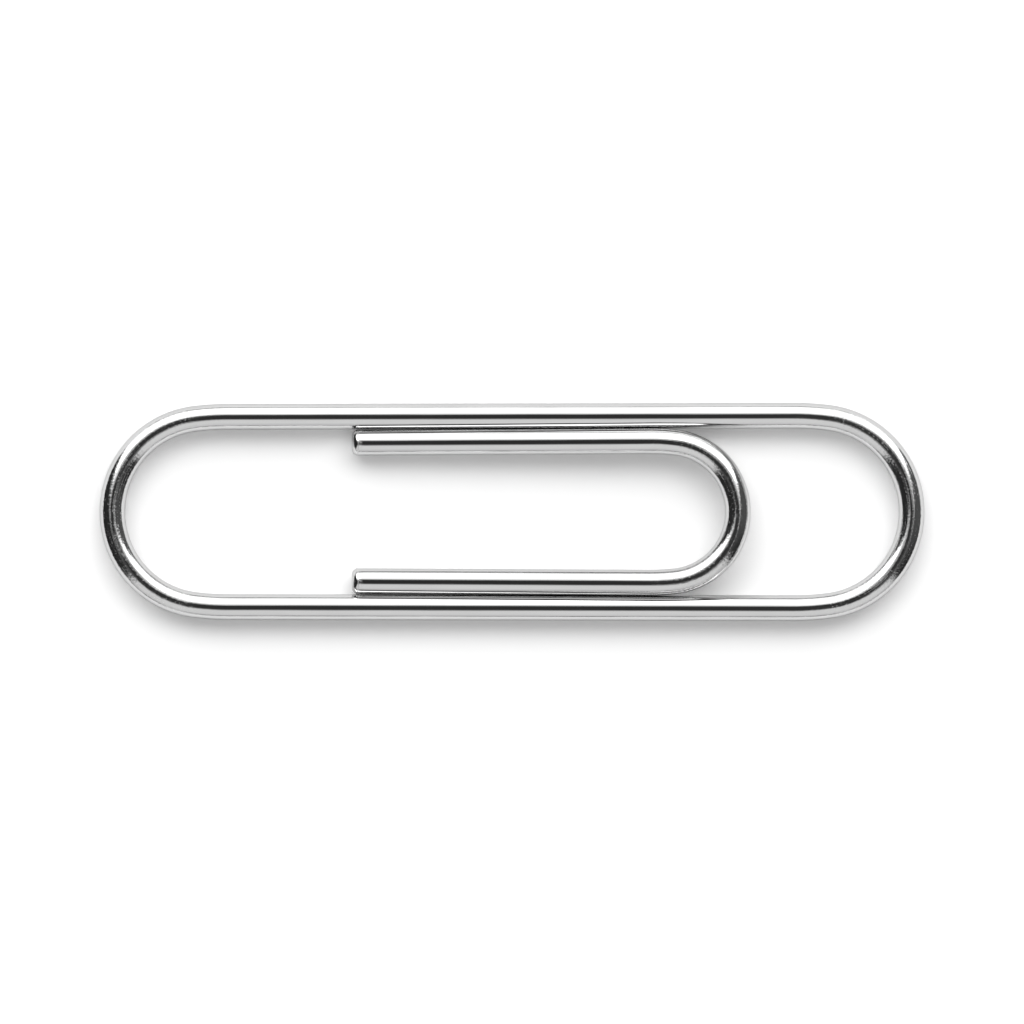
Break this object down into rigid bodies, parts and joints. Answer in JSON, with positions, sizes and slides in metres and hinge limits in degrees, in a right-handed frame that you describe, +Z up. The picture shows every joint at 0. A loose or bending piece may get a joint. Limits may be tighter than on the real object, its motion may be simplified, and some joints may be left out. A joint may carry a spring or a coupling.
{
  "type": "paper clip",
  "caption": "Wire paper clip: a long closed loop of round wire with a sprung U-shaped tongue lying inside it, which grips sheets of paper against the loop.",
  "frame": {"origin": "on the surface that the clip lies on, below the middle of the outer loop", "axes": "+X along the clip towards its head, where paper slips in under the tongue's nose; +Y across the clip; +Z up, square to the plane of the clip"},
  "size_m": [0.032, 0.0084, 0.0013],
  "materials": {
    "bright_wire": "bright nickel plating on drawn steel wire, polished, with faint marks along the wire"
  },
  "bodies": {
    "loop": {"outer_loop": "bright_wire"},
    "tongue": {"inner_tongue": "bright_wire"}
  },
  "joints": [
    {"name": "tongue_lift", "type": "hinge", "parent": "loop", "child": "tongue", "pos_m": [-0.0052, 0, 0.0005], "axis": [0, -1, 0], "range_deg": [0, 8], "stiffness_Nm_per_rad": 1.2}
  ]
}
